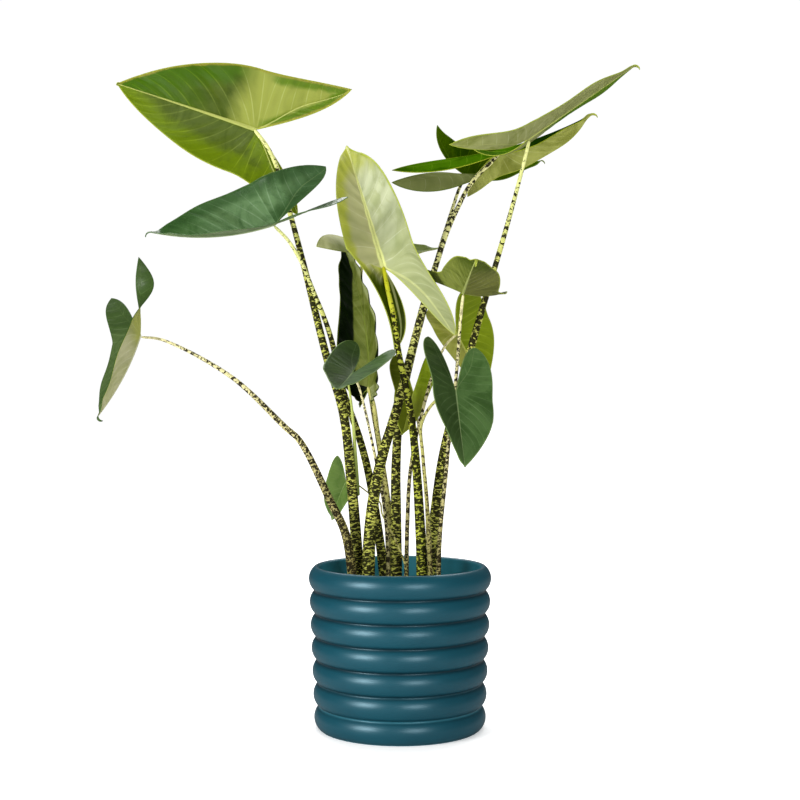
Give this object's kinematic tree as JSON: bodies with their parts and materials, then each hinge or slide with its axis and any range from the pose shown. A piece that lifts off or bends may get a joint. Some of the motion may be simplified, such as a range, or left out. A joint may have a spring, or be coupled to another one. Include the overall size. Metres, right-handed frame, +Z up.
{
  "type": "potted alocasia house plant",
  "caption": "House plant with arrow-shaped leaves on tall mottled stalks, standing in a ribbed, glazed round pot of soil.",
  "frame": {"origin": "centre of the pot's flat base, at the surface that the pot stands on", "axes": "+Z up, out of the pot; -Y towards the side from which the picture was taken; +X to the right in that view"},
  "size_m": [0.6726, 0.4162, 0.8577],
  "materials": {
    "pot_glaze": "matt teal glaze",
    "soil": "loose dark potting soil",
    "leaf": "waxy dark green upper face, paler satin green under face",
    "stalk": "yellow-green skin with jagged black-brown cross bands",
    "new_leaf": "smooth pale green skin of a leaf that is still rolled up"
  },
  "bodies": {
    "root": {"pot": "pot_glaze", "soil": "soil", "leaf_top_left": "leaf", "leaf_upper_left": "leaf", "leaf_far_left": "leaf", "leaf_centre": "leaf", "leaf_top_right": "leaf", "leaf_right": "leaf", "leaf_right_back": "leaf", "leaf_centre_back": "leaf", "leaf_young_back": "leaf", "leaf_inner_right": "leaf", "leaf_heart_right": "leaf", "leaf_cupped_right": "leaf", "leaf_small_inner": "leaf", "leaf_small_front": "leaf", "leaf_small_low": "leaf", "stalk_top_left": "stalk", "stalk_upper_left": "stalk", "stalk_far_left": "stalk", "stalk_centre": "stalk", "stalk_top_right": "stalk", "stalk_right": "stalk", "stalk_right_back": "stalk", "stalk_centre_back": "stalk", "stalk_young_back": "stalk", "stalk_inner_right": "stalk", "stalk_heart_right": "stalk", "stalk_cupped_right": "stalk", "stalk_small_inner": "stalk", "stalk_small_front": "stalk", "stalk_small_low": "stalk", "spear": "new_leaf"}
  },
  "joints": []
}
